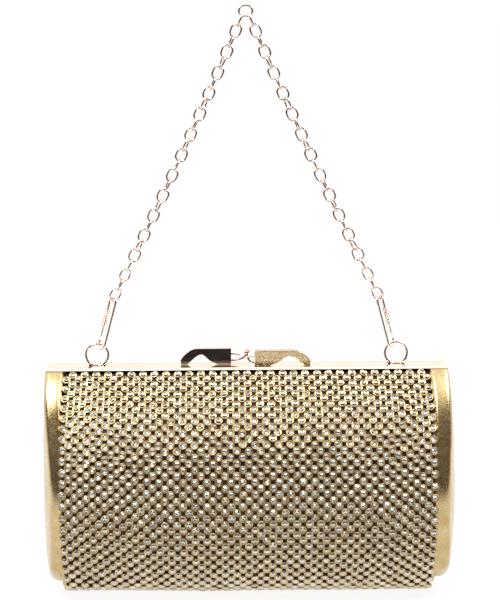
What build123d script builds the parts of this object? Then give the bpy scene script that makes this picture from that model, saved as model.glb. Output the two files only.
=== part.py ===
"""Evening bag: a kiss-lock frame purse with a crystal mesh skin, metallic leather ends and a chain handle.

Frame: +Z up, the front faces -Y, the origin is the middle of the base. Millimetres.
"""

from build123d import *
from math import asin, acos, cos, degrees, radians, sin, sqrt
import os

os.makedirs("parts", exist_ok=True)

# ---- driving dimensions -------------------------------------------------------------------------

# End view of the body: one wide arc for each wall, a smaller arc at each bottom edge, a flat base.
HALF_DEPTH = 33.0  # at the fullest height
FULL_Z = 40.0
WALL_RADIUS = 58.5
CORNER_RADIUS = 15.0
WALL_CENTRE = WALL_RADIUS - HALF_DEPTH
CORNER_DROP = degrees(asin((FULL_Z - CORNER_RADIUS) / (WALL_RADIUS - CORNER_RADIUS)))
CORNER_CENTRE = (WALL_RADIUS - CORNER_RADIUS) * cos(radians(CORNER_DROP)) - WALL_CENTRE

# Layers, as insets from the outer skin.
MESH = (0.0, 2.75)
WRAP = (2.8, 4.8)
LINING = (6.1, 6.9)
MESH_HALF = 72.3
WRAP_HALF = 75.8
LINING_HALF = 71.0
LINING_CLOTH = 0.8
ROOF_Z = 90.1  # the layers end here, under the rails' top plates
MESH_EDGE_Y = 3.2
WRAP_EDGE_Y = 2.5
LINING_EDGE_Y = 1.0

# Puffed leather ends.
END_HALF = 83.0
END_BULGE_Z = 33.0
END_TOP = (80.7, 91.0)
END_FOOT = (79.6, 2.0)
END_SIDE_RADIUS = 70.3
LEATHER = 1.5

# Metal frame: two rails, four hidden arms, two rivets.
RAIL_TOP = 91.0
RAIL_HALF = 80.5
RAIL_DEPTH = 6.5
SEAM = 0.05  # each rail stands this far from the closing plane
PLATE = 0.8
LIP = 1.0
LIP_BEVEL = 0.85
SEAM_ROUND = 0.3
FLANGE = 4.5
FLANGE_HALF = 75.6  # it stops short of the puffed ends
HINGE_Z = 46.0
ARM = 1.3
ARM_WIDTH = 3.6
ARM_TOP_Y = 2.85
ARM_BEND_Z = 80.0
ARM_EYE_RADIUS = 3.6
FRONT_ARM_X = 72.6
BACK_ARM_X = 74.1
ARM_SLOT = (3.4, 6.4, 12.0)
ARM_SLOT_AT = (74.0, 3.5, 86.0)
RIVET_RADIUS = 1.25
RIVET_FIT = 0.05
RIVET_HEAD = 2.6
RIVET_ENDS = (71.1, 76.3)

# Rings on the back rail, each through a small lug in the seam.
RING_X = 60.5
RING_Y = 0.95
RING_RADIUS = 4.5
RING_WIRE = 0.5
RING_BOTTOM_Z = 90.7
RING_CENTRE_Z = RING_BOTTOM_Z + RING_RADIUS
LUG_HOLE = 0.62
LUG_TAB = (0.7, 1.7, 2.6)
LUG_TAB_Z = 90.4
LUG_ROUND = 0.7
LUG_FOOT = (6.4, 2.12, 0.7)
LUG_FOOT_Y = 1.94
LUG_FOOT_Z = 88.75
POCKET_HALF = 3.4
POCKET_BACK = 2.3
POCKET_FRONT = 1.0
POCKET_Z = 89.1

# Wire snap hooks.
HOOK_WIRE = 0.45
HOOK_HALF = 2.3
HOOK_LENGTH = 21.6  # between the wire centres of the two bends
HOOK_LEAN = 15.0
HOOK_ROLL = 56.0
HOOK_ON_RING = 33.0  # where the ring carries the hook, from the ring's top
HOOK_PLAY = 0.65
COIL = (8.6, 16.4)  # the spring's ends, up from the lower bend
COIL_TURNS = 15
COIL_RADIUS = 0.72
COIL_WIRE = 0.24
NOSE_TOP = 3.2
GATE_WIRE = 0.28
GATE_GAP = 0.25  # between the hook's wire end and the gate's
GATE_TIP = 3.5
GATE_KINK = 5.2
GATE_FLARE = 0.9

# Chain of oval links, twisted by turns.
LINK_WIRE = 0.4
LINK_BEND = 2.05
LINK_STRAIGHT = 1.14
LINK_REACH = LINK_BEND + LINK_STRAIGHT / 2
LINK_GAP = 0.03
LINKS = 28
PITCH = 2 * LINK_REACH - 2 * LINK_WIRE - LINK_GAP
LEG_SAG = 1.0
FIRST_TURN = 28.0  # the lowest link lies across the hook's own plane
FIRST_GAP = 0.25
TWIST = (8, -14, 17, -6, 12, -18, 5)  # small turns of the links off square
TOP_LINK_ANGLE = 65.0  # where each leg hangs on the top link, below level

# Clasp: two arched wings, each with a curved finger that ends in a ball. Wing points are measured
# from the outer tip, along the rail and up from it.
WING_HEIGHT = 6.4
WING_Y = (1.2, 4.6)
WING_LEAN = {"front": 1.6, "back": 0.0}  # how far the outer face draws in towards the rail
WING_ROUND = 0.3
WING_SHOULDER = 7.0
WING_BROW = (2.6, 4.6)
WING_TIP = 1.6
WING_FOOT = (0.3, 2.7)
ARCH_TOP = (8.8, 4.0)
ARCH_SHARE = 0.7  # the arch ends at this share of the wing's length
ARCH_STEP = (0.5, 0.4)
FRONT_WING = (25.7, 3.0)
BACK_WING = (-26.9, -6.4)
FINGER_WIRE = 0.42
FINGER_Y = 2.65
FINGER_RISE = 1.3
FINGER_GAP = 0.06  # the wires stop this far from the wing's end face
PIN_WIRE = 0.34
PIN_RISE = 4.1
PIN = (3.4, 0.6, -0.5)
BALL = 0.9
BALL_X = 0.2
BALL_Y = 1.05
BALL_Z = 96.3


# ---- soft body ----------------------------------------------------------------------------------


def outline(inset):
    """The body's end view, in from the outer skin by inset, drawn with y across and z up."""
    radius = WALL_RADIUS - inset
    corner = CORNER_RADIUS - inset
    apex = degrees(acos(-WALL_CENTRE / radius))
    with BuildSketch() as face:
        with BuildLine():
            wall = CenterArc((WALL_CENTRE, FULL_Z), radius, apex, 180 + CORNER_DROP - apex)
            CenterArc((-CORNER_CENTRE, CORNER_RADIUS), corner, 180 + CORNER_DROP, 90 - CORNER_DROP)
            Line((-CORNER_CENTRE, inset), (0, inset))
            Line((0, inset), wall @ 0)
        make_face()
        mirror(about=Plane.YZ)
    return face.sketch


def layer(insets, half, end_wall=0.0):
    """One layer of the body, open at its ends unless an end wall closes them."""
    with BuildPart() as tube:
        with BuildSketch(Plane.YZ.offset(-half)):
            add(outline(insets[0]))
        extrude(amount=2 * half)
        with BuildSketch(Plane.YZ.offset(-half + end_wall)):
            add(outline(insets[1]))
        extrude(amount=2 * (half - end_wall), mode=Mode.SUBTRACT)
    return tube.part


def end_form(inset, shrink):
    """One puffed end as a block: the end outline, rounded from side to side and from top to foot."""
    side = END_SIDE_RADIUS - shrink
    with BuildPart() as block:
        with BuildSketch(Plane.YZ.offset(WRAP_HALF)):
            add(outline(inset))
        extrude(amount=END_HALF - WRAP_HALF)
        with BuildSketch(Plane.XZ.offset(-HALF_DEPTH)):
            with BuildLine():
                arc = ThreePointArc(
                    (END_FOOT[0] - shrink, 0),
                    (END_HALF - shrink, END_BULGE_Z),
                    (END_TOP[0] - shrink, END_TOP[1] + 2),
                )
                Polyline(arc @ 1, (0, END_TOP[1] + 2), (0, 0), arc @ 0)
            make_face()
        extrude(amount=2 * HALF_DEPTH, mode=Mode.INTERSECT)
        with BuildSketch():
            with Locations((END_HALF - shrink - side, 0)):
                Circle(side)
        extrude(amount=END_TOP[1] + 2, mode=Mode.INTERSECT)
    return block.part


def end_shell():
    """The hollow right-hand end, open towards the bag."""
    with BuildPart() as shell:
        add(end_form(WRAP[0], 0))
        add(end_form(WRAP[0] + LEATHER, LEATHER), mode=Mode.SUBTRACT)
    return shell.part


def keep(side, edge_y=SEAM):
    """The room that a front (-1), back (1) or lower (0) piece is cut to."""
    if side == 0:
        low, high, depth, shift = 0.0, HINGE_Z, 2 * HALF_DEPTH, 0.0
    else:
        low, high, depth = HINGE_Z + SEAM, ROOF_Z, HALF_DEPTH - edge_y
        shift = side * (edge_y + depth / 2)
    with BuildPart() as room:
        with Locations((0, shift, (low + high) / 2)):
            Box(2 * END_HALF + 2, depth, high - low)
    return room.part


def arm_slots(side):
    """Slits in the leather where the two arms of one frame pass up to the rail."""
    with BuildPart() as slots:
        with Locations(*[(x * ARM_SLOT_AT[0], side * ARM_SLOT_AT[1], ARM_SLOT_AT[2]) for x in (-1, 1)]):
            Box(*ARM_SLOT)
    return slots.part


SIDES = {"front": -1, "back": 1, "lower": 0}
mesh_tube = layer(MESH, MESH_HALF)
wrap_tube = layer(WRAP, WRAP_HALF)
lining_tube = layer(LINING, LINING_HALF, LINING_CLOTH)
right_end = end_shell()

for where, side in SIDES.items():
    with BuildPart() as mesh:
        add(mesh_tube)
        add(keep(side, MESH_EDGE_Y), mode=Mode.INTERSECT)
    mesh.part.label = f"{where}_mesh"
    export_step(mesh.part, f"parts/{where}_mesh.step")

    with BuildPart() as wrap:
        add(wrap_tube)
        add(keep(side, WRAP_EDGE_Y), mode=Mode.INTERSECT)
        if side:
            add(arm_slots(side), mode=Mode.SUBTRACT)
    wrap.part.label = f"{where}_wrap"
    export_step(wrap.part, f"parts/{where}_wrap.step")

    with BuildPart() as lining:
        add(lining_tube)
        add(keep(side, LINING_EDGE_Y), mode=Mode.INTERSECT)
    lining.part.label = f"{where}_lining"
    export_step(lining.part, f"parts/{where}_lining.step")

    with BuildPart() as right_gusset:
        add(right_end)
        add(keep(side), mode=Mode.INTERSECT)
    right_gusset.part.label = f"right_gusset_{where}"
    export_step(right_gusset.part, f"parts/right_gusset_{where}.step")

    with BuildPart() as left_gusset:
        add(right_gusset.part)
        mirror(about=Plane.YZ)
        with Locations((END_HALF, 0, END_BULGE_Z)):
            Box(2 * END_HALF, 4 * HALF_DEPTH, 4 * END_HALF, mode=Mode.SUBTRACT)
    left_gusset.part.label = f"left_gusset_{where}"
    export_step(left_gusset.part, f"parts/left_gusset_{where}.step")

with BuildPart() as base_board:
    with Locations((0, 0, (WRAP[1] + LINING[0]) / 2)):
        Box(2 * LINING_HALF - 4, 2 * CORNER_CENTRE - 1, LINING[0] - WRAP[1] - 0.1)
base_board.part.label = "base_board"
export_step(base_board.part, "parts/base_board.step")


# ---- metal frame --------------------------------------------------------------------------------


def rail_section(side):
    """A rail's end view: a flat top plate, a short bevelled lip and a deeper flange at the seam."""
    outer = side * RAIL_DEPTH
    inner = side * SEAM
    with BuildSketch() as section:
        with BuildLine():
            Polyline(
                (inner, RAIL_TOP),
                (outer, RAIL_TOP),
                (outer, RAIL_TOP - LIP),
                (outer - side * PLATE, RAIL_TOP - LIP),
                (outer - side * PLATE, RAIL_TOP - PLATE),
                (inner + side * PLATE, RAIL_TOP - PLATE),
                (inner + side * PLATE, RAIL_TOP - FLANGE),
                (inner, RAIL_TOP - FLANGE),
                close=True,
            )
        make_face()
        seam_corner = section.vertices().group_by(Axis.Y)[-1].sort_by(Axis.X)[-1 if side < 0 else 0]
        fillet(seam_corner, SEAM_ROUND)
        outer_corner = section.vertices().group_by(Axis.Y)[-1].sort_by(Axis.X)[0 if side < 0 else -1]
        chamfer(outer_corner, LIP_BEVEL)
    return section.sketch


for where, side, pocket in (("front", -1, POCKET_FRONT), ("back", 1, POCKET_BACK)):
    with BuildPart() as rail:
        with BuildSketch(Plane.YZ.offset(-RAIL_HALF)):
            add(rail_section(side))
        extrude(amount=2 * RAIL_HALF)
        with Locations(*[(x * RAIL_HALF, 0, RAIL_TOP - PLATE - FLANGE / 2) for x in (-1, 1)]):
            Box(2 * (RAIL_HALF - FLANGE_HALF), 4, FLANGE, mode=Mode.SUBTRACT)
        with Locations(*[(x * RING_X, side * pocket / 2, POCKET_Z + 2) for x in (-1, 1)]):
            Box(2 * POCKET_HALF, pocket, 4, mode=Mode.SUBTRACT)
    rail.part.label = f"{where}_rail"
    export_step(rail.part, f"parts/{where}_rail.step")

    arm_x = FRONT_ARM_X if side < 0 else BACK_ARM_X
    with BuildPart() as arm:
        with BuildSketch(Plane.YZ.offset(arm_x)):
            with BuildLine():
                Polyline(
                    (-ARM_WIDTH / 2, HINGE_Z),
                    (side * ARM_TOP_Y - ARM_WIDTH / 2, ARM_BEND_Z),
                    (side * ARM_TOP_Y - ARM_WIDTH / 2, RAIL_TOP - PLATE),
                    (side * ARM_TOP_Y + ARM_WIDTH / 2, RAIL_TOP - PLATE),
                    (side * ARM_TOP_Y + ARM_WIDTH / 2, ARM_BEND_Z),
                    (ARM_WIDTH / 2, HINGE_Z),
                    close=True,
                )
            make_face()
            with Locations((0, HINGE_Z)):
                Circle(ARM_EYE_RADIUS)
                Circle(RIVET_RADIUS + RIVET_FIT, mode=Mode.SUBTRACT)
        extrude(amount=ARM)
    arm.part.label = f"right_{where}_arm"
    export_step(arm.part, f"parts/right_{where}_arm.step")

    with BuildPart() as left_arm:
        add(mirror(arm.part, about=Plane.YZ, mode=Mode.PRIVATE))
    left_arm.part.label = f"left_{where}_arm"
    export_step(left_arm.part, f"parts/left_{where}_arm.step")

for where, side in (("left", -1), ("right", 1)):
    with BuildPart(Plane.YZ) as rivet:
        with BuildSketch(Plane.YZ.offset(side * RIVET_ENDS[0])):
            with Locations((0, HINGE_Z)):
                Circle(RIVET_RADIUS)
        extrude(amount=side * (RIVET_ENDS[1] - RIVET_ENDS[0]))
        with BuildSketch(Plane.YZ.offset(side * RIVET_ENDS[0])):
            with Locations((0, HINGE_Z)):
                Circle(RIVET_HEAD)
        extrude(amount=side * (FRONT_ARM_X - 0.1 - RIVET_ENDS[0]))
        with BuildSketch(Plane.YZ.offset(side * (BACK_ARM_X + ARM + 0.1))):
            with Locations((0, HINGE_Z)):
                Circle(RIVET_HEAD)
        extrude(amount=side * (RIVET_ENDS[1] - BACK_ARM_X - ARM - 0.1))
    rivet.part.label = f"{where}_hinge_rivet"
    export_step(rivet.part, f"parts/{where}_hinge_rivet.step")


# ---- rings, lugs, hooks and chain ---------------------------------------------------------------


def hook_plane():
    """The left hook's own plane: x to its solid limb, y up its length, origin at the lower bend."""
    lean = radians(HOOK_LEAN)
    roll = radians(HOOK_ROLL)
    place = radians(HOOK_ON_RING)
    inside = RING_RADIUS - RING_WIRE - HOOK_WIRE - HOOK_PLAY
    origin = Vector(-RING_X + inside * sin(place), RING_Y, RING_CENTRE_Z + inside * cos(place))
    up = Vector(sin(lean), 0, cos(lean))
    across = Vector(cos(lean) * cos(roll), -sin(roll), -sin(lean) * cos(roll))
    return Plane(origin=origin, x_dir=across, z_dir=across.cross(up))


HOOK = hook_plane()
LIMB_TOP = HOOK_LENGTH - HOOK_HALF
hook_top = HOOK.from_local_coords((0, HOOK_LENGTH, 0))

with BuildPart() as hook:
    with BuildLine(HOOK) as hook_path:
        nose = Line((-HOOK_HALF, NOSE_TOP), (-HOOK_HALF, HOOK_HALF))
        lower = ThreePointArc(nose @ 1, (0, 0), (HOOK_HALF, HOOK_HALF))
        limb = Line(lower @ 1, (HOOK_HALF, LIMB_TOP))
        upper = ThreePointArc(limb @ 1, (0, HOOK_LENGTH), (-HOOK_HALF, LIMB_TOP))
        Line(upper @ 1, (-HOOK_HALF, COIL[0]))
    with BuildSketch(Plane(hook_path.line @ 0, z_dir=hook_path.line % 0)):
        Circle(HOOK_WIRE)
    sweep(path=hook_path.wires()[0])

COIL_AXIS = Plane(
    HOOK.from_local_coords((-HOOK_HALF, COIL[0], 0)), x_dir=HOOK.x_dir, z_dir=HOOK.z_dir
)
coil_pitch = (COIL[1] - COIL[0]) / COIL_TURNS
with BuildPart() as coil:
    with BuildSketch(COIL_AXIS):
        with Locations((COIL_RADIUS, (COIL[1] - COIL[0]) / 2)):
            Rectangle(0.3, COIL[1] - COIL[0] - 0.1)
        with Locations(*[(COIL_RADIUS, (n + 0.5) * coil_pitch) for n in range(COIL_TURNS)]):
            Circle(COIL_WIRE)
    revolve(axis=Axis(COIL_AXIS.origin, COIL_AXIS.y_dir))

with BuildPart() as gate:
    with BuildLine(HOOK) as gate_path:
        Polyline(
            (-HOOK_HALF, COIL[0] - GATE_GAP),
            (-HOOK_HALF, GATE_KINK),
            (-HOOK_HALF - GATE_FLARE, GATE_TIP),
        )
    with BuildSketch(Plane(gate_path.line @ 0, z_dir=gate_path.line % 0)):
        Circle(GATE_WIRE)
    sweep(path=gate_path.wires()[0], transition=Transition.ROUND)

with BuildPart() as link:
    with BuildLine(Plane.XZ) as link_path:
        near = Line((-LINK_BEND, -LINK_STRAIGHT / 2), (-LINK_BEND, LINK_STRAIGHT / 2))
        crown = ThreePointArc(near @ 1, (0, LINK_REACH), (LINK_BEND, LINK_STRAIGHT / 2))
        far = Line(crown @ 1, (LINK_BEND, -LINK_STRAIGHT / 2))
        ThreePointArc(far @ 1, (0, -LINK_REACH), near @ 0)
    with BuildSketch(Plane(link_path.line @ 0, z_dir=link_path.line % 0)):
        Circle(LINK_WIRE)
    sweep(path=link_path.wires()[0])

# The left leg runs from the hook's upper bend to the top link.
angle = radians(TOP_LINK_ANGLE)
leg_top_x = -LINK_STRAIGHT / 2 - LINK_BEND * cos(angle)
rise_low = LINK_REACH - LINK_WIRE - HOOK_WIRE - FIRST_GAP
rise_high = LINK_REACH - 2 * LINK_WIRE - LINK_GAP
leg_length = rise_low + (LINKS - 1) * PITCH + rise_high
leg_rise = sqrt(leg_length**2 - (leg_top_x - hook_top.X) ** 2)
leg_lean = degrees(asin((leg_top_x - hook_top.X) / leg_length))
top_link_z = hook_top.Z + leg_rise + LINK_BEND * sin(angle)


def leg_places():
    """Where each link of the left leg stands, from the hook up, alternate links turned square."""
    lean = radians(leg_lean)
    places = []
    for n in range(LINKS):
        along = rise_low + n * PITCH
        share = along / leg_length
        sag = 4 * LEG_SAG * share * (1 - share)
        slope = 4 * LEG_SAG * (1 - 2 * share) / leg_length
        x = hook_top.X + along * sin(lean) + sag * cos(lean)
        z = hook_top.Z + along * cos(lean) - sag * sin(lean)
        twist = 0 if n in (0, LINKS - 1) else TWIST[n % len(TWIST)]
        turn = 90 * (n % 2) + FIRST_TURN * max(0, 1 - n / 4) + twist
        tilt = leg_lean + degrees(slope)
        places.append(Pos(x, RING_Y, z) * Rot(0, tilt, 0) * Rot(0, 0, turn))
    return places


with BuildPart() as leg:
    with Locations(*leg_places()):
        add(link.part)

with BuildPart() as ring:
    with Locations(Location((-RING_X, RING_Y, RING_CENTRE_Z), (90, 0, 0))):
        Torus(RING_RADIUS, RING_WIRE)

with BuildPart() as lug:
    with Locations((-RING_X, LUG_FOOT_Y, LUG_FOOT_Z)):
        Box(*LUG_FOOT)
    with Locations((-RING_X, RING_Y, LUG_TAB_Z)):
        Box(*LUG_TAB)
    fillet(lug.edges().filter_by(Axis.X).group_by(Axis.Z)[-1], LUG_ROUND)
    with Locations(Location((-RING_X, RING_Y, RING_BOTTOM_Z), (0, 90, 0))):
        Cylinder(LUG_HOLE, 2, mode=Mode.SUBTRACT)

left_pieces = {
    "{}_ring": ring,
    "{}_ring_lug": lug,
    "{}_hook": hook,
    "{}_hook_spring": coil,
    "{}_hook_gate": gate,
    "chain_{}": leg,
}
for pattern, left_piece in left_pieces.items():
    left_piece.part.label = pattern.format("left")
    export_step(left_piece.part, f"parts/{pattern.format('left')}.step")
    with BuildPart() as right_piece:
        add(mirror(left_piece.part, about=Plane.YZ, mode=Mode.PRIVATE))
    right_piece.part.label = pattern.format("right")
    export_step(right_piece.part, f"parts/{pattern.format('right')}.step")

with BuildPart() as chain_top_link:
    with Locations(Location((0, RING_Y, top_link_z), (0, 90, 0))):
        add(link.part)
chain_top_link.part.label = "chain_top_link"
export_step(chain_top_link.part, "parts/chain_top_link.step")


# ---- clasp --------------------------------------------------------------------------------------


def wing(tip, end, where, side):
    """An arched wing on a rail, from its outer tip to its square inner end."""
    way = 1 if end > tip else -1
    length = abs(end - tip)
    arch_end = ARCH_SHARE * length
    outer_y = side * WING_Y[1]
    foot_y = side * (WING_Y[1] - WING_LEAN[where])
    with BuildPart() as plate:
        with BuildSketch(Plane.XZ):
            with BuildLine():
                top = Polyline(
                    (end, RAIL_TOP),
                    (end, RAIL_TOP + WING_HEIGHT),
                    (tip + way * WING_SHOULDER, RAIL_TOP + WING_HEIGHT),
                )
                brow = Spline(
                    top @ 1,
                    (tip + way * WING_BROW[0], RAIL_TOP + WING_BROW[1]),
                    (tip, RAIL_TOP + WING_TIP),
                    tangents=[(-way, 0), (-way * 0.45, -1)],
                )
                foot = Polyline(
                    brow @ 1, (tip + way * WING_FOOT[0], RAIL_TOP), (tip + way * WING_FOOT[1], RAIL_TOP)
                )
                arch = Spline(
                    foot @ 1,
                    (tip + way * ARCH_TOP[0], RAIL_TOP + ARCH_TOP[1]),
                    (tip + way * arch_end, RAIL_TOP + ARCH_STEP[1]),
                    tangents=[(way, 0.9), (way, -0.25)],
                )
                Polyline(arch @ 1, (tip + way * (arch_end + ARCH_STEP[0]), RAIL_TOP), top @ 0)
            make_face()
        extrude(amount=-outer_y)
        with Locations((0, side * WING_Y[0] / 2, RAIL_TOP)):
            Box(4 * length, WING_Y[0], 4 * WING_HEIGHT, mode=Mode.SUBTRACT)
        if WING_LEAN[where]:
            with BuildSketch(Plane.YZ.offset(min(tip, end) - 1)):
                with BuildLine():
                    Polyline(
                        (outer_y, RAIL_TOP + WING_HEIGHT),
                        (foot_y, RAIL_TOP),
                        (2 * outer_y, RAIL_TOP),
                        (2 * outer_y, RAIL_TOP + WING_HEIGHT),
                        close=True,
                    )
                make_face()
            extrude(amount=length + 2, mode=Mode.SUBTRACT)
        rims = plate.faces().sort_by(Axis.Y)[0 if side < 0 else -1].outer_wire().edges()
        fillet(rims, WING_ROUND)
    return plate.part


def finger(root, side):
    """The wire finger of one clasp half: a curve up to a ball, and a short straight pin above it."""
    way = 1 if root < 0 else -1
    start = Vector(root + way * FINGER_GAP, side * FINGER_Y, RAIL_TOP + FINGER_RISE)
    tip = Vector(side * BALL_X, side * BALL_Y, BALL_Z)
    pin_start = Vector(root + way * FINGER_GAP, side * FINGER_Y, RAIL_TOP + PIN_RISE)
    with BuildPart() as piece:
        with BuildLine() as route:
            Spline(start, tip, tangents=[(way, 0, 0.1), (way * 0.3, 0, 1)])
        with BuildSketch(Plane(route.line @ 0, z_dir=route.line % 0)):
            Circle(FINGER_WIRE)
        sweep()
        with Locations(tip):
            Sphere(BALL)
    with BuildPart() as pin:
        with BuildLine() as pin_route:
            Line(pin_start, pin_start + Vector(way * PIN[0], -side * PIN[1], PIN[2]))
        with BuildSketch(Plane(pin_route.line @ 0, z_dir=pin_route.line % 0)):
            Circle(PIN_WIRE)
        sweep(path=pin_route.wires()[0])
    with BuildPart() as both:
        add(piece.part)
        add(pin.part)
    return both.part


for where, side, ends in (("front", -1, FRONT_WING), ("back", 1, BACK_WING)):
    with BuildPart() as clasp_wing:
        add(wing(ends[0], ends[1], where, side))
    clasp_wing.part.label = f"{where}_clasp_wing"
    export_step(clasp_wing.part, f"parts/{where}_clasp_wing.step")

    with BuildPart() as clasp_finger:
        add(finger(ends[1], side))
    clasp_finger.part.label = f"{where}_clasp_finger"
    export_step(clasp_finger.part, f"parts/{where}_clasp_finger.step")
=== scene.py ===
"""Evening bag: the looks of a kiss-lock frame purse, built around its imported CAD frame.

Metres, +Z up, the front faces -Y. The metal keeps its CAD shape and gets its finish here. The crystal
skin, the leather ends, the lining, the folded gussets and the hook springs are built here.
"""

import math

import bpy
import numpy as np
from mathutils import Matrix, Vector, noise

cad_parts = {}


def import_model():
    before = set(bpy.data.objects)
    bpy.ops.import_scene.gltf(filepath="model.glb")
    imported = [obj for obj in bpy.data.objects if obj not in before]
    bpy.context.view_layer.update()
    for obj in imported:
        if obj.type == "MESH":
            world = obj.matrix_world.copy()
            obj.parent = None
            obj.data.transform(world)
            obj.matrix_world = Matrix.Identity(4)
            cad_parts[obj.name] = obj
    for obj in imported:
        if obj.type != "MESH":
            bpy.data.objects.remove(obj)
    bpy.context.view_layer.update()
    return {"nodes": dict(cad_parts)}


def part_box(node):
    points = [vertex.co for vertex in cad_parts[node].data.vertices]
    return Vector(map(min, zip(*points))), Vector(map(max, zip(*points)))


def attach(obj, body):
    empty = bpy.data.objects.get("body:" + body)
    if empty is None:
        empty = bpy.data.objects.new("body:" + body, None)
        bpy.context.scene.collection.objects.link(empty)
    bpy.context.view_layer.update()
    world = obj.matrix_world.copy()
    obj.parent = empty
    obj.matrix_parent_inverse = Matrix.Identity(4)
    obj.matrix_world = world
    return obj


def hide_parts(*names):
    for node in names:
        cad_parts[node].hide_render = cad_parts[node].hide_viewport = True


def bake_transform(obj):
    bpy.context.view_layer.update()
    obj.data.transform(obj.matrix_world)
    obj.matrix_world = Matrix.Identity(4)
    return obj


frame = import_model()
noise.seed_set(7)  # noise_vector would otherwise start from the clock
MM = 0.001

# ---- driving dimensions, from the frame and the body's end view ----------------------------------

HALF_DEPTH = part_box("lower_mesh")[1].y
MESH_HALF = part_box("front_mesh")[1].x
ROOF_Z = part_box("front_mesh")[1].z
LINING_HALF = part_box("front_lining")[1].x
HINGE_Z = sum(v.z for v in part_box("left_hinge_rivet")) / 2

WALL_RADIUS = 58.5 * MM
CORNER_RADIUS = 15 * MM
FULL_Z = 40 * MM
WALL_CENTRE = WALL_RADIUS - HALF_DEPTH
CORNER_TURN = math.acos((FULL_Z - CORNER_RADIUS) / (WALL_RADIUS - CORNER_RADIUS))
BASE_HALF = (WALL_RADIUS - CORNER_RADIUS) * math.sin(CORNER_TURN) - WALL_CENTRE
CORNER_LENGTH = CORNER_RADIUS * CORNER_TURN

BEND_LOW = 26 * MM  # the seam's room for the folded gussets grows between these heights
BEND_HIGH = 88 * MM
FRAMES = {"front": (-1, "front_frame"), "back": (1, "back_frame")}
ENDS = {"left": -1, "right": 1}

# Crystal skin.
STONES_ACROSS = 32  # in every other row, with one fewer in the rows between
STONE_PITCH = 4.635 * MM
ROW_PITCH = 2.44 * MM
TOP_ROW_Z = ROOF_Z - 1.6 * MM
STONE_SHIFT = 0.05 * MM  # how far a stone strays along and across its row
CUP_RADIUS = 1.63 * MM
CUP_SIDES = 14
CUP_HEIGHT = 1.05 * MM
STONE_HEIGHT = 1.3 * MM
SKIN = (STONE_HEIGHT, 2.7 * MM)
STONE_TILT = 0.09
ROW_LIFT = {"left": (32 * MM, 0.16), "right": (50 * MM, 0.17)}  # rows ride up from here, at this slope
LIFT_EASE = 5 * MM
FOOT_LIFT = 1.3 * MM  # the bottom edge is drawn up by this at the left end
SLUMP = 0.25 * MM
STRAIGHT_Z = 82 * MM  # above this the stones run straight on, to stand out under the rail's lip
BACKING_RUN = 12.2 * MM  # how far the metal cloth runs on from there, to end under the rail

# Leather ends.
LEATHER_INSET = 2.8 * MM
LEATHER = 0.7 * MM
LEATHER_TOP = ROOF_Z - 0.2 * MM
LEATHER_SEAM_FOOT = 12 * MM  # the lowest line of the end meets the seam at this height
RIM_RADIUS = 1.1 * MM
FOOT_RIM_RADIUS = 3.3 * MM
LEATHER_TOP_PUFF = 3.5 * MM  # how far it stands out again under the rail's lip
LEATHER_FOOT_RISE = 3.0 * MM  # and how far it is drawn up at the foot
BARREL_RADIUS = 75 * MM
BULGE = {"left": 81.9 * MM, "right": 83.4 * MM}
BULGE_Z = 35 * MM
END_TOP = 80.2 * MM
END_FOOT = 79.2 * MM
TUCK = 70.2 * MM  # the leather runs on under the edge of the crystal skin
TUCK_LENGTH = (STONES_ACROSS - 1) / 2 * STONE_PITCH + CUP_RADIUS + 0.1 * MM - TUCK
SEAM = 0.04 * MM  # half the gap between the two halves of an end

# Lining and pleats.
LINING_INSET = 6.1 * MM
LINING_CLOTH = 0.6 * MM
LINING_FOOT = 14 * MM
LINING_TOP = 84.5 * MM
LINING_LIP = (85.6 * MM, 87.4 * MM)  # two more lines of cloth, up between the rails
PLEAT_DEPTH = 1.0 * MM  # room at the seam for the folded gusset, at the bend's upper end
PLEATS = 6
PLEAT_STEPS = 6 * PLEATS
PLEAT_FOOT = HINGE_Z - 4 * MM
GUSSET_FOLD_X = 77 * MM
LINING_FOLD_X = 69.2 * MM
FOLD_GAP = 0.1 * MM  # from a fold's outer edge to the piece around it

# Hook springs.
SPRING_WIRE = 0.24 * MM
SPRING_RADIUS = 0.71 * MM
SPRING_TURNS = 15
SPRING_STEPS = 20


# ---- end view -----------------------------------------------------------------------------------


def skin(s, inset=0.0):
    """A point of the end view and its outward normal: (|y|, z, ny, nz), in from the outer skin.

    s runs along the outer skin from the middle of the base, out, round the corner and up the wall.
    """
    if s < BASE_HALF:
        return s, inset, 0.0, -1.0
    if s < BASE_HALF + CORNER_LENGTH:
        turn = (s - BASE_HALF) / CORNER_RADIUS
        radius, centre_y, centre_z = CORNER_RADIUS - inset, BASE_HALF, CORNER_RADIUS
    else:
        turn = CORNER_TURN + (s - BASE_HALF - CORNER_LENGTH) / WALL_RADIUS
        radius, centre_y, centre_z = WALL_RADIUS - inset, -WALL_CENTRE, FULL_Z
    ny, nz = math.sin(turn), -math.cos(turn)
    return centre_y + radius * ny, centre_z + radius * nz, ny, nz


def crystal_surface(s, inset):
    """Like skin, but straight above STRAIGHT_Z."""
    over = max(0.0, s - height_to_s(STRAIGHT_Z))
    y, z, ny, nz = skin(s - over, inset)
    return y - nz * over, z + ny * over, ny, nz


def height_to_s(z, inset=0.0):
    """The s at which the wall, in by inset, reaches height z."""
    turn = math.acos((FULL_Z - z) / (WALL_RADIUS - inset))
    return BASE_HALF + CORNER_LENGTH + (turn - CORNER_TURN) * WALL_RADIUS


def ease(t):
    """A smooth step from 0 to 1."""
    t = min(1.0, max(0.0, t))
    return t * t * (3 - 2 * t)


def foot_lift(x, s):
    """How far the bottom edge is drawn up towards the left end."""
    leftward = ease((-x - 5 * MM) / (55 * MM))
    downward = ease((BASE_HALF + CORNER_LENGTH - s) / (12 * MM))
    return FOOT_LIFT * leftward * downward


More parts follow.
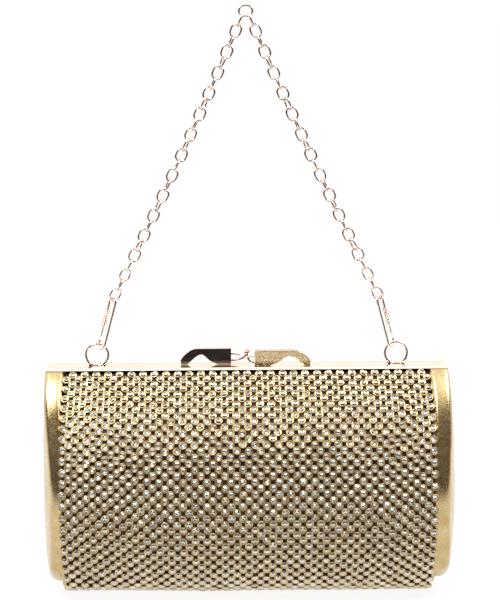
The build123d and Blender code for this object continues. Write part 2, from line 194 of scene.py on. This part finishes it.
def slump(x, s):
    """The soft body's slight unevenness: how far the skin sinks in at x, s."""
    wave = noise.noise(Vector((x / 0.045, s / 0.03, 3.1)))
    return SLUMP * (1 + wave) + foot_lift(x, s)


# ---- mesh helpers -------------------------------------------------------------------------------


def make(name, points, faces, material, smooth=True):
    """A mesh object from points and faces."""
    mesh = bpy.data.meshes.new(name)
    mesh.from_pydata(np.asarray(points).tolist(), [], [list(map(int, f)) for f in faces])
    mesh.update()
    if smooth:
        mesh.shade_smooth()
    mesh.materials.append(material)
    obj = bpy.data.objects.new(name, mesh)
    bpy.context.scene.collection.objects.link(obj)
    return obj


def grid_faces(rows, columns, flip=False, loop=False):
    """Quads over a grid of points, row by row. A loop's last column joins its first."""
    faces = []
    for r in range(rows - 1):
        for c in range(columns if loop else columns - 1):
            d = (c + 1) % columns
            quad = [r * columns + c, r * columns + d, (r + 1) * columns + d, (r + 1) * columns + c]
            faces.append(quad[::-1] if flip else quad)
    return faces


def sheet_mesh(name, rows, material, flip=False):
    """A smooth sheet from rows of points, all rows of one length."""
    points = [p for row in rows for p in row]
    return make(name, points, grid_faces(len(rows), len(rows[0]), flip), material)


def apply_modifiers(obj):
    """Turns the object's modifiers into plain mesh."""
    graph = bpy.context.evaluated_depsgraph_get()
    mesh = bpy.data.meshes.new_from_object(obj.evaluated_get(graph))
    obj.modifiers.clear()
    obj.data = mesh
    return obj


def thicken(obj, thickness):
    """Gives a sheet its thickness, inwards."""
    solid = obj.modifiers.new("thickness", "SOLIDIFY")
    solid.thickness = thickness
    solid.offset = -1
    return apply_modifiers(obj)


def tube(name, path, radius, material, sides=8):
    """A round wire along a list of points, closed at both ends."""
    path = [Vector(p) for p in path]
    normal = (path[1] - path[0]).orthogonal().normalized()
    points = []
    for i, p in enumerate(path):
        way = (path[min(i + 1, len(path) - 1)] - path[max(i - 1, 0)]).normalized()
        normal = (normal - way * normal.dot(way)).normalized()
        across = way.cross(normal)
        for k in range(sides):
            a = 2 * math.pi * k / sides
            points.append(p + radius * (math.cos(a) * normal + math.sin(a) * across))
    faces = grid_faces(len(path), sides, loop=True)
    last = len(points) - sides
    for k in range(1, sides - 1):
        faces.append([0, k + 1, k])
        faces.append([last, last + k, last + k + 1])
    return make(name, [list(p) for p in points], faces, material)


def bend(obj):
    """Bakes the piece's placement into its mesh."""
    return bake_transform(obj)


# ---- materials ----------------------------------------------------------------------------------


def srgb(code):
    """Linear colour from a hex code."""
    parts = [int(code[i : i + 2], 16) / 255 for i in (0, 2, 4)]
    linear = [c / 12.92 if c <= 0.04045 else ((c + 0.055) / 1.055) ** 2.4 for c in parts]
    return (*linear, 1.0)


class Finish:
    """A Principled material and the procedural nodes that feed it, in the frame's coordinates."""

    def __init__(self, name, metallic, roughness, **sockets):
        self.material = bpy.data.materials.new(name)
        self.material.use_nodes = True
        self.tree = self.material.node_tree
        self.shader = self.tree.nodes["Principled BSDF"]
        self.place = self.tree.nodes.new("ShaderNodeTexCoord").outputs["Object"]
        self.set(Metallic=metallic, Roughness=roughness, **sockets)

    def set(self, **sockets):
        for key, value in sockets.items():
            self.shader.inputs[key.replace("_", " ")].default_value = value

    def link(self, output, socket):
        self.tree.links.new(output, self.shader.inputs[socket])

    def node(self, kind, *links, **properties):
        """A node with its properties set, its inputs linked or filled in order from links."""
        made = self.tree.nodes.new(kind)
        for key, value in properties.items():
            setattr(made, key, value)
        for socket, value in links:
            if isinstance(value, bpy.types.NodeSocket):
                self.tree.links.new(value, made.inputs[socket])
            else:
                made.inputs[socket].default_value = value
        return made

    def stretched(self, scale):
        links = [("Vector", self.place), ("Scale", scale)]
        return self.node("ShaderNodeMapping", *links).outputs["Vector"]

    def noise(self, size, detail=4.0, rough=0.55, place=None):
        """Fractal noise with features of about that size in metres."""
        links = [("Vector", place or self.place), ("Scale", 1 / size), ("Detail", detail)]
        return self.node("ShaderNodeTexNoise", *links, ("Roughness", rough)).outputs["Fac"]

    def cells(self, size, feature="F1"):
        links = [("Vector", self.place), ("Scale", 1 / size)]
        return self.node("ShaderNodeTexVoronoi", *links, feature=feature).outputs["Distance"]

    def island(self):
        """A random number for each separate piece of the mesh."""
        return self.node("ShaderNodeNewGeometry").outputs["Random Per Island"]

    def ramp(self, factor, *stops):
        """A colour ramp over the stops, each (position, hex colour)."""
        made = self.node("ShaderNodeValToRGB", ("Fac", factor))
        ramp = made.color_ramp
        for _ in range(len(stops) - 2):
            ramp.elements.new(0.5)
        for element, (position, colour) in zip(ramp.elements, stops):
            element.position = position
            element.color = srgb(colour)
        return made.outputs["Color"]

    def span(self, factor, low, high, start=0.0, end=1.0):
        """Maps the factor from start..end to low..high."""
        links = [("Value", factor), ("From Min", start), ("From Max", end)]
        links += [("To Min", low), ("To Max", high)]
        return self.node("ShaderNodeMapRange", *links).outputs["Result"]

    def math(self, operation, a, b):
        return self.node("ShaderNodeMath", (0, a), (1, b), operation=operation).outputs[0]

    def multiply(self, a, b, share=1.0):
        """Colour a darkened by colour b."""
        links = [("Factor", share), (6, a), (7, b)]
        mixed = self.node("ShaderNodeMix", *links, data_type="RGBA", blend_type="MULTIPLY")
        return mixed.outputs[2]

    def bump(self, height, distance, strength=1.0):
        """Adds relief; distance is the height in metres of a full step."""
        links = [("Height", height), ("Distance", distance), ("Strength", strength)]
        self.link(self.node("ShaderNodeBump", *links).outputs["Normal"], "Normal")


def polished(name, light, deep, roughness):
    """Plated metal: faint tarnish clouds, smudges and hairline scratches."""
    metal = Finish(name, 1.0, roughness[0])
    clouds = metal.noise(6 * MM, 5)
    metal.link(metal.ramp(clouds, (0.3, deep), (0.7, light)), "Base Color")
    hairs = metal.noise(0.6 * MM, 2, place=metal.stretched((0.05, 1.0, 1.0)))
    worn = metal.math("MULTIPLY", hairs, metal.noise(2.5 * MM))
    metal.link(metal.span(worn, *roughness, 0.12, 0.42), "Roughness")
    metal.bump(hairs, 0.004 * MM)
    return metal.material


def crystal_finish():
    """Foil-backed stones: each its own faint tint."""
    stone = Finish("crystal_stone", 0.92, 0.07, Coat_Weight=0.3, Coat_Roughness=0.02)
    tints = ((0.0, "cfcabb"), (0.35, "e6e3dc"), (0.6, "c8ccc5"), (0.8, "dacbba"), (1.0, "c2bdc0"))
    stone.link(stone.ramp(stone.island(), *tints), "Base Color")
    stone.link(stone.span(stone.noise(0.5 * MM, 2), 0.03, 0.16, 0.3, 0.7), "Roughness")
    return stone.material


def cup_finish():
    """The gold cups that hold the stones."""
    cup = Finish("crystal_cup", 1.0, 0.25)
    tint = cup.ramp(cup.island(), (0.0, "d8c28f"), (0.5, "e6d4ab"), (1.0, "cbb688"))
    grime = cup.ramp(cup.noise(0.8 * MM, 3), (0.35, "b49a72"), (0.6, "ffffff"))
    cup.link(cup.multiply(tint, grime, 0.5), "Base Color")
    cup.link(cup.span(cup.noise(0.4 * MM), 0.22, 0.48, 0.3, 0.7), "Roughness")
    cup.bump(cup.noise(0.25 * MM, 3), 0.02 * MM)
    return cup.material


def backing_finish():
    """The metal cloth between the cups: brown, taken darker as painted shade for the shade that falls
    between the cups.
    """
    cloth = Finish("crystal_backing", 0.55, 0.42)
    # painted shade: these dark browns stand in for the shade between the cups, over the cloth's own
    # brown
    tone = cloth.ramp(cloth.noise(1.6 * MM, 4), (0.3, "2c1508"), (0.55, "5a3518"), (0.75, "7d5a2a"))
    cloth.link(tone, "Base Color")
    cloth.link(cloth.span(cloth.noise(0.6 * MM), 0.3, 0.6, 0.3, 0.7), "Roughness")
    cloth.bump(cloth.cells(0.55 * MM), 0.12 * MM)
    return cloth.material


def leather_finish():
    """Metallic foil over leather: fine broken grain, bright specks, rubbed patches."""
    foil = Finish("gold_foil_leather", 0.95, 0.2, Coat_Weight=0.1, Coat_Roughness=0.1)
    grain = foil.cells(0.5 * MM)
    fine = foil.noise(0.22 * MM, 6, 0.7)
    tone = foil.ramp(foil.noise(7 * MM, 5), (0.3, "cab182"), (0.55, "d7c396"), (0.75, "e4d4ae"))
    specks = foil.ramp(fine, (0.36, "b39d70"), (0.5, "fbf5e6"), (0.62, "ffffff"))
    foil.link(foil.multiply(tone, specks, 0.75), "Base Color")
    rub = foil.math("MULTIPLY", grain, foil.noise(1.5 * MM))
    foil.link(foil.span(rub, 0.12, 0.3, 0.05, 0.4), "Roughness")
    foil.bump(foil.math("ADD", foil.math("MULTIPLY", grain, 0.6), fine), 0.03 * MM)
    return foil.material


def lining_finish():
    """Champagne satin, woven fine."""
    satin = Finish("lining_satin", 0.0, 0.38, Sheen_Weight=0.4, Sheen_Roughness=0.35)
    threads = satin.noise(0.3 * MM, 3, place=satin.stretched((0.08, 1.0, 1.0)))
    weft = satin.noise(0.3 * MM, 2, place=satin.stretched((1.0, 0.1, 0.1)))
    both = satin.math("ADD", threads, satin.math("MULTIPLY", weft, 0.4))
    satin.link(satin.ramp(both, (0.5, "9c7f55"), (0.72, "c9ae82"), (0.95, "dcc6a0")), "Base Color")
    satin.link(satin.span(threads, 0.28, 0.5, 0.3, 0.7), "Roughness")
    satin.bump(both, 0.03 * MM)
    return satin.material


def board_finish():
    """Grey stiffening board, fibrous."""
    board = Finish("stiffening_board", 0.0, 0.85)
    fibres = board.noise(0.8 * MM, 5, place=board.stretched((0.3, 1.0, 1.0)))
    board.link(board.ramp(fibres, (0.3, "6e6455"), (0.7, "9b907e")), "Base Color")
    board.bump(fibres, 0.05 * MM)
    return board.material


def hammered():
    """The clasp wing's gold, finely hammered."""
    metal = Finish("hammered_gold", 1.0, 0.18)
    dents = metal.cells(1.1 * MM, "SMOOTH_F1")
    ripple = metal.noise(0.7 * MM, 3, 0.6)
    metal.link(metal.ramp(ripple, (0.3, "b69566"), (0.5, "d4bb94"), (0.7, "e0d0b8")), "Base Color")
    metal.link(metal.span(ripple, 0.1, 0.3, 0.3, 0.7), "Roughness")
    metal.bump(metal.math("ADD", dents, metal.math("MULTIPLY", ripple, 0.6)), 0.22 * MM)
    return metal.material


GOLD = polished("polished_gold", "fef4e2", "f9e8c8", (0.05, 0.14))
HAMMERED = hammered()
ROSE_GOLD = polished("rose_gold_wire", "efdcd0", "d8bfb3", (0.08, 0.22))
DEEP_ROSE = polished("deep_rose_wire", "d3a595", "b07f72", (0.08, 0.22))
STONE = crystal_finish()
CUP = cup_finish()
BACKING = backing_finish()
FOIL = leather_finish()
SATIN = lining_finish()
BOARD = board_finish()


# ---- crystal skin -------------------------------------------------------------------------------


def cup_form():
    """One cup about its own axis: a low wall with a broad rolled rim."""
    rings = [(0.9, 0.0), (1.0, 0.7), (0.96, 0.95), (0.85, 1.0), (0.7, 0.82)]
    points = []
    for radius, height in rings:
        for k in range(CUP_SIDES):
            a = 2 * math.pi * k / CUP_SIDES
            r = radius * CUP_RADIUS
            points.append((r * math.cos(a), r * math.sin(a), height * CUP_HEIGHT))
    return np.array(points), np.array(grid_faces(len(rings), CUP_SIDES, loop=True))


def stone_form():
    """One cut stone: eight-fold crown and a sunk star in place of the table's view of the foil."""
    girdle, middle, table = 1.16 * MM, 0.86 * MM, 0.6 * MM
    seat, brow, top, sink = 0.8 * MM, 1.1 * MM, STONE_HEIGHT, 1.12 * MM
    points = []
    for k in range(16):
        a = math.pi * k / 8
        points.append((girdle * math.cos(a), girdle * math.sin(a), seat))
    for radius, height, shift in ((middle, brow, 0.5), (table, top, 0.0)):
        for k in range(8):
            a = math.pi * (k + shift) / 4
            points.append((radius * math.cos(a), radius * math.sin(a), height))
    points.append((0, 0, sink))
    faces = []
    for k in range(8):
        g, m, t = 2 * k, 16 + k, 24 + k
        g1, g2, m0, t1 = 2 * k + 1, (2 * k + 2) % 16, 16 + (k - 1) % 8, 24 + (k + 1) % 8
        faces += [(g, g1, m), (g1, g2, m), (g, m, t), (g, t, m0), (m, t1, t), (t, t1, 32)]
    return np.array(points), np.array(faces)


def row_lift(x, s):
    """How far a row has ridden up the wall at x, near the ends."""
    start, slope = ROW_LIFT["left" if x < 0 else "right"]
    along = max(0.0, abs(x) - start)
    corner, top = BASE_HALF + CORNER_LENGTH, height_to_s(ROOF_Z)
    share = min(1.0, s / corner) * (1 - ease((s - corner) / (top - corner)) ** 2)
    return share * slope * along**2 / (along + LIFT_EASE)


def stone_places(side, rng):
    """Where the stones of one half stand: points on the skin and three axes for each."""
    top = height_to_s(TOP_ROW_Z)
    rows = round(top / ROW_PITCH + 0.5)
    pitch = top / (rows - 0.5)
    places, frames = [], []
    for row in range(rows):
        s = (row + 0.5) * pitch
        short_row = (row % 2 == 0) == (side < 0)
        count = STONES_ACROSS - 1 if short_row else STONES_ACROSS
        reach = STONE_PITCH * (count - 1) / 2
        for x in np.linspace(-reach, reach, count):
            x += rng.normal(0, STONE_SHIFT)
            here = s + row_lift(x, s) + rng.normal(0, STONE_SHIFT)
            y, z, ny, nz = crystal_surface(here, STONE_HEIGHT + slump(x, here))
            axis = np.array([0, side * ny, nz]) + rng.normal(0, STONE_TILT, 3)
            axis /= np.linalg.norm(axis)
            first = np.cross(axis, rng.normal(0, 1, 3))
            first /= np.linalg.norm(first)
            places.append((x, side * y, z))
            frames.append(np.column_stack([first, np.cross(axis, first), axis]))
    return np.array(places), np.array(frames)


def scatter(name, form, places, frames, material, smooth):
    """One mesh with the form at every place."""
    points, faces = form
    all_points = np.einsum("nij,pj->npi", frames, points) + places[:, None, :]
    shifts = np.arange(len(places))[:, None, None] * len(points)
    all_faces = (faces[None] + shifts).reshape(-1, faces.shape[1])
    return make(name, all_points.reshape(-1, 3), all_faces, material, smooth)


def backing_rows(side, inset):
    """The metal cloth's surface over one half, from the base's middle to under the rail."""
    rows = []
    for s in np.linspace(0, height_to_s(STRAIGHT_Z) + BACKING_RUN, 60):
        row = []
        for x in np.linspace(-MESH_HALF, MESH_HALF, 61):
            y, z, _, _ = crystal_surface(s, inset + slump(x, s))
            row.append((x, side * y, z))
        rows.append(row)
    return rows


def closed_shell(name, outer, inner, material, flip):
    """A thin closed solid between two sheets of the same grid."""
    rows, columns = len(outer), len(outer[0])
    points = [p for sheet in (outer, inner) for row in sheet for p in row]
    shift = rows * columns
    faces = grid_faces(rows, columns, flip)
    faces += [[i + shift for i in f[::-1]] for f in grid_faces(rows, columns, flip)]
    rim = list(range(columns))
    rim += [r * columns + columns - 1 for r in range(1, rows)]
    rim += [(rows - 1) * columns + c for c in range(columns - 2, -1, -1)]
    rim += [r * columns for r in range(rows - 2, 0, -1)]
    for a, b in zip(rim, rim[1:] + rim[:1]):
        quad = [a, b, b + shift, a + shift]
        faces.append(quad if flip else quad[::-1])
    return make(name, points, faces, material)


def crystal_skin():
    """Cups, stones and the metal cloth under them, for the front half and the back."""
    for where, (side, _) in FRAMES.items():
        rng = np.random.default_rng(11 + side)
        places, frames = stone_places(side, rng)
        cups = scatter(f"{where}_cups", cup_form(), places, frames, CUP, True)
        stones = scatter(f"{where}_crystals", stone_form(), places, frames, STONE, False)
        outer, inner = (backing_rows(side, inset) for inset in SKIN)
        cloth = closed_shell(f"{where}_metal_cloth", outer, inner, BACKING, side > 0)
        for obj in (cups, stones, cloth):
            bend(obj)
        nodes = [f"{where}_mesh"] + (["lower_mesh"] if where == "front" else [])
        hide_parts(*nodes)


# ---- leather ends -------------------------------------------------------------------------------


def leather_inset(z):
    """The leather fills out under the rail's lip and is drawn up at the foot."""
    puff = LEATHER_TOP_PUFF * ease((z - 62 * MM) / (28 * MM))
    return LEATHER_INSET - puff + LEATHER_FOOT_RISE * ease((16 * MM - z) / (13 * MM))


def end_x(name, y, z):
    """How far out the puffed end stands at y, z."""
    if z > BULGE_Z:
        side = BULGE[name] - (BULGE[name] - END_TOP) * ((z - BULGE_Z) / (ROOF_Z - BULGE_Z)) ** 2.2
    else:
        side = BULGE[name] - (BULGE[name] - END_FOOT) * ((BULGE_Z - z) / BULGE_Z) ** 2.4
    return side - y * y / (2 * BARREL_RADIUS)


def end_row(s, rise, outer, radius, start, tucked, middle_y, inset_at):
    """One line of a bag end, from under the wall's edge, over the rim and across to the seam.

    rise is the height where it meets the seam, outer gives x at y, z, radius rounds the rim, and
    tucked is the y, z of its first stretch from x = start.
    """
    rough_z = skin(s, LEATHER_INSET)[1]
    y, z, _, _ = skin(s, inset_at(rough_z))
    length = math.hypot(y - middle_y, rise - z)
    step_y, step_z = (middle_y - y) / length, (rise - z) / length
    rim = outer(y, z)
    row = [(x, *tucked) for x in np.linspace(start, start + TUCK_LENGTH, 3)]
    row += [(x, y, z) for x in np.linspace(start + TUCK_LENGTH + 0.5 * MM, rim - radius, 6)]
    for turn in np.linspace(0, math.pi / 2, 7)[1:]:
        along = min(radius * (1 - math.cos(turn)), length)
        here = (y + step_y * along, z + step_z * along)
        row.append((outer(*here) - radius + radius * math.sin(turn), *here))
    for share in np.linspace(0, 1, 17)[1:]:
        along = radius + (length - radius) * share
        here = (y + step_y * along, z + step_z * along)
        row.append((outer(*here), *here))
    return row


def leather_row(name, share):
    """The row of the leather end that starts at this share of the way up the skin."""
    s = share * height_to_s(LEATHER_TOP, leather_inset(ROOF_Z))
    rise = LEATHER_SEAM_FOOT + (LEATHER_TOP - LEATHER_SEAM_FOOT) * share
    lowness = ease((20 * MM - skin(s)[1]) / (18 * MM))
    radius = RIM_RADIUS + (FOOT_RIM_RADIUS - RIM_RADIUS) * lowness
    tucked = crystal_surface(s, LEATHER_INSET + foot_lift(-TUCK, s))[:2]
    return end_row(s, rise, lambda y, z: end_x(name, y, z), radius, TUCK, tucked, SEAM, leather_inset)


def soften(points, amount, size, seed):
    """Moves points of a sheet a little, in soft dents of about that size."""
    moved = []
    for x, y, z in points:
        at = Vector((x, y, z)) / size + Vector((seed, seed, seed))
        dent = noise.noise_vector(at) * amount
        moved.append((x + dent.x, y, z + dent.z * 0.3))
    return moved


def leather_ends():
    """Four puffed quarters: left and right, front and back."""
    for where, (side, _) in FRAMES.items():
        for name, way in ENDS.items():
            rows = [leather_row(name, share) for share in np.linspace(0, 1, 72)]
            rows = [[(way * x, side * y, z) for x, y, z in row] for row in rows]
            rows = [soften(row[:-1], 0.25 * MM, 14 * MM, 5 + way) + row[-1:] for row in rows]
            end = sheet_mesh(f"{name}_{where}_leather_end", rows, FOIL, way * side < 0)
            thicken(end, LEATHER)
            bend(end)
            nodes = [f"{name}_gusset_{where}"]
            if where == "front":
                nodes.append(f"{name}_gusset_lower")
            if name == "left":
                nodes.append(f"{where}_wrap")
                if where == "front":
                    nodes.append("lower_wrap")
            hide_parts(*nodes)


# ---- lining and folded gussets ------------------------------------------------------------------


def bend_share(z):
    """How far up the bend a height is, from 0 to 1."""
    return min(1.0, max(0.0, (z - BEND_LOW) / (BEND_HIGH - BEND_LOW)))


def lining_row(share):
    """The right half of one line round the lining, from the middle to the end's seam."""
    s = share * height_to_s(LINING_TOP, LINING_INSET)
    rise = LINING_FOOT + (LINING_TOP - LINING_FOOT) * share
    middle = max(SEAM, PLEAT_DEPTH * bend_share(rise))
    wall = skin(s, LINING_INSET)[:2]
    outer = lambda y, z: LINING_HALF
    return end_row(s, rise, outer, 1.5 * MM, 0.0, wall, middle, lambda z: LINING_INSET)


def lining():
    """The satin lining, a half for each frame, wrinkled a little."""
    for where, (side, _) in FRAMES.items():
        rows = []
        for share in np.linspace(0, 1, 56):
            half = lining_row(share)
            row = [(-x, side * y, z) for x, y, z in half[:0:-1]]
            row += [(x, side * y, z) for x, y, z in half]
            rows.append(row)
        for z in LINING_LIP:
            rows.append([(x, side * min(abs(y), PLEAT_DEPTH), z) for x, y, _ in rows[-1]])
        wrinkled = []
        for row in rows:
            fresh = []
            for x, y, z in row:
                fold = noise.noise(Vector((x / 0.02, y / 0.03, z / 0.02)))
                fresh.append((x, y - side * 0.5 * MM * max(0.0, fold) * ease(abs(y) / (8 * MM)), z))
            wrinkled.append(fresh)
        cloth = sheet_mesh(f"{where}_lining_cloth", wrinkled, SATIN, side > 0)
        thicken(cloth, LINING_CLOTH)
        bend(cloth)
        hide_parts(f"{where}_lining", *(["lower_lining"] if where == "front" else []))


def pleated(name, where, way, inner_x, outer_x, material, slot, top_z):
    """A folded gusset in the seam: a zigzag sheet between the halves, fanned out wider towards the top
    of the bend.

    Its layers lie a hair apart.
    """
    side, body = FRAMES[where]
    rows = []
    for z in np.linspace(PLEAT_FOOT, top_z, 36):
        row = []
        width = PLEAT_DEPTH * bend_share(z)
        for k in range(PLEAT_STEPS + 1):
            share = k / PLEAT_STEPS
            zigzag = abs((share * PLEATS) % 2 - 1)
            x = inner_x + (outer_x(z) - inner_x) * zigzag
            row.append((way * x, side * width * share, z))
        rows.append(row)
    obj = sheet_mesh(name, rows, material, way * side < 0)
    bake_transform(obj)
    return obj


def leather_edge(name):
    """Gives x of the leather folds' outer edge at a height, just inside that end."""
    return lambda z: end_x(name, 0, z) - LEATHER - FOLD_GAP


def lining_edge(z):
    """x of the lining folds' outer edge."""
    return LINING_HALF - FOLD_GAP


def gussets():
    """Folded leather with folded lining inside it, at each quarter's seam."""
    for where in FRAMES:
        for name, way in ENDS.items():
            outer = (GUSSET_FOLD_X, leather_edge(name), FOIL, "gold_leather", ROOF_Z)
            inner = (LINING_FOLD_X, lining_edge, SATIN, "lining", LINING_TOP)
            pleated(f"{name}_{where}_gusset_fold", where, way, *outer)
            pleated(f"{name}_{where}_lining_fold", where, way, *inner)


# ---- hook springs -------------------------------------------------------------------------------


def spring(name):
    """A wound wire spring along the CAD spring's own axis."""
    co = np.array([v.co for v in frame["nodes"][name].data.vertices])
    centre = (co.max(0) + co.min(0)) / 2
    axis = np.linalg.svd(co - co.mean(0), full_matrices=False)[2][0]
    half = np.abs((co - centre) @ axis).max()
    first = np.cross(axis, (0, 1, 0))
    first /= np.linalg.norm(first)
    second = np.cross(axis, first)
    path = []
    for k in range(SPRING_TURNS * SPRING_STEPS + 1):
        a = 2 * math.pi * k / SPRING_STEPS
        up = (half - SPRING_WIRE) * (2 * k / (SPRING_TURNS * SPRING_STEPS) - 1)
        path.append(centre + SPRING_RADIUS * (math.cos(a) * first + math.sin(a) * second) + up * axis)
    wound = tube(f"{name}_wire", path, SPRING_WIRE, ROSE_GOLD)
    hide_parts(name)
    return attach(wound, "chain")


# ---- CAD nodes' finishes ------------------------------------------------------------------------


def finish_nodes():
    """Gives every CAD node its material by its name."""
    wires = ("ring", "hook", "chain")
    for name, obj in frame["nodes"].items():
        if name == "base_board":
            material = BOARD
        elif name == "front_clasp_wing":
            material = HAMMERED
        elif name.endswith("clasp_finger"):
            material = DEEP_ROSE
        elif any(word in name for word in wires) and not name.endswith("lug"):
            material = ROSE_GOLD
        else:
            material = GOLD
        for slot in obj.material_slots:
            slot.material = material


# ---- studio -------------------------------------------------------------------------------------


def world():
    """A light tent: bright all round, with a dim opening in front, up to about 50 degrees above level.

    The bag is lit by the tent and mirrors it, but the backdrop itself is seen as plain white.
    """
    made = bpy.data.worlds.new("tent")
    bpy.context.scene.world = made
    made.use_nodes = True
    tree = made.node_tree
    tree.nodes.clear()
    way = tree.nodes.new("ShaderNodeTexCoord").outputs["Generated"]
    parts = tree.nodes.new("ShaderNodeSeparateXYZ")
    tree.links.new(way, parts.inputs[0])

    def step(output, start, end, low=0.0, high=1.0):
        made = tree.nodes.new("ShaderNodeMapRange")
        made.interpolation_type = "SMOOTHSTEP"
        tree.links.new(output, made.inputs["Value"])
        values = {"From Min": start, "From Max": end, "To Min": low, "To Max": high}
        for key, value in values.items():
            made.inputs[key].default_value = value
        return made.outputs["Result"]

    def times(a, b):
        made = tree.nodes.new("ShaderNodeMath")
        made.operation = "MULTIPLY"
        tree.links.new(a, made.inputs[0])
        tree.links.new(b, made.inputs[1])
        return made.outputs[0]

    def blend(factor, first, second):
        made = tree.nodes.new("ShaderNodeMix")
        made.data_type = "RGBA"
        tree.links.new(factor, made.inputs["Factor"])
        for socket, colour in ((6, first), (7, second)):
            if isinstance(colour, tuple):
                made.inputs[socket].default_value = (*colour, 1)
            else:
                tree.links.new(colour, made.inputs[socket])
        return made.outputs[2]

    below = step(parts.outputs["Z"], 0.86, 0.74)
    front = step(parts.outputs["Y"], 0.05, -0.2)
    height = step(parts.outputs["Z"], 0.05, 0.5)
    bright = blend(height, (0.92, 0.84, 0.81), (1.45, 1.45, 1.45))
    tent = tree.nodes.new("ShaderNodeBackground")
    dark = blend(step(parts.outputs["Z"], -0.12, 0.12), (0.022, 0.018, 0.024), (0.12, 0.1, 0.095))
    tree.links.new(blend(times(below, front), bright, dark), tent.inputs["Color"])
    seen = tree.nodes.new("ShaderNodeBackground")
    seen.inputs["Color"].default_value = (1, 1, 1, 1)
    chooser = tree.nodes.new("ShaderNodeMixShader")
    tree.links.new(tree.nodes.new("ShaderNodeLightPath").outputs["Is Camera Ray"], chooser.inputs[0])
    tree.links.new(tent.outputs[0], chooser.inputs[1])
    tree.links.new(seen.outputs[0], chooser.inputs[2])
    out = tree.nodes.new("ShaderNodeOutputWorld")
    tree.links.new(chooser.outputs[0], out.inputs["Surface"])


def softbox(name, place, size, power):
    """An area light aimed at the bag's middle."""
    light = bpy.data.lights.new(name, "AREA")
    light.shape = "DISK"
    light.size = size
    light.energy = power
    obj = bpy.data.objects.new(name, light)
    bpy.context.scene.collection.objects.link(obj)
    obj.location = place
    aim = Vector((0, 0, 0.05)) - Vector(place)
    obj.rotation_euler = aim.to_track_quat("-Z", "Y").to_euler()


def floor():
    """A white table top that glows a little. It ends 0.3 m in front of the bag."""
    paper = Finish("white_paper", 0.0, 0.8, Emission_Color=(1, 1, 1, 1), Emission_Strength=0.9)
    paper.link(paper.ramp(paper.noise(4 * MM, 4), (0.3, "484848"), (0.7, "4e4e4e")), "Base Color")
    paper.bump(paper.noise(0.5 * MM, 3), 0.01 * MM)
    reach, count, back, level = 1.1, 64, 0.77, -0.05 * MM
    points = [(0, back, level)]
    for k in range(count):
        a = 2 * math.pi * k / count
        points.append((reach * math.cos(a), back + reach * math.sin(a), level))
    mesh = bpy.data.meshes.new("table_top")
    mesh.from_pydata(points, [], [(0, k + 1, (k + 1) % count + 1) for k in range(count)])
    mesh.materials.append(paper.material)
    top = bpy.data.objects.new("table_top", mesh)
    bpy.context.scene.collection.objects.link(top)


def camera():
    """Level with the handle's upper half, half a metre in front, looking a little down."""
    data = bpy.data.cameras.new("camera")
    data.lens = 76.2
    data.sensor_width = 36
    obj = bpy.data.objects.new("camera", data)
    bpy.context.scene.collection.objects.link(obj)
    obj.location = (-0.010, -0.505, 0.190)
    aim = Vector((0.0013, 0, 0.1174)) - obj.location
    turn = aim.to_track_quat("-Z", "Y").to_matrix().to_4x4()
    roll = math.radians(-0.2)
    obj.matrix_world = Matrix.Translation(obj.location) @ turn @ Matrix.Rotation(roll, 4, "Z")
    data.clip_start = 0.01
    bpy.context.scene.camera = obj


camera()
world()
softbox("key", (-0.35, -0.25, 0.75), 0.35, 5.0)
softbox("fill", (0.45, -0.10, 0.65), 0.30, 3.0)
floor()
bpy.context.scene.view_settings.view_transform = "Standard"

crystal_skin()
leather_ends()
lining()
gussets()
for end in ENDS:
    spring(f"{end}_hook_spring")
finish_nodes()
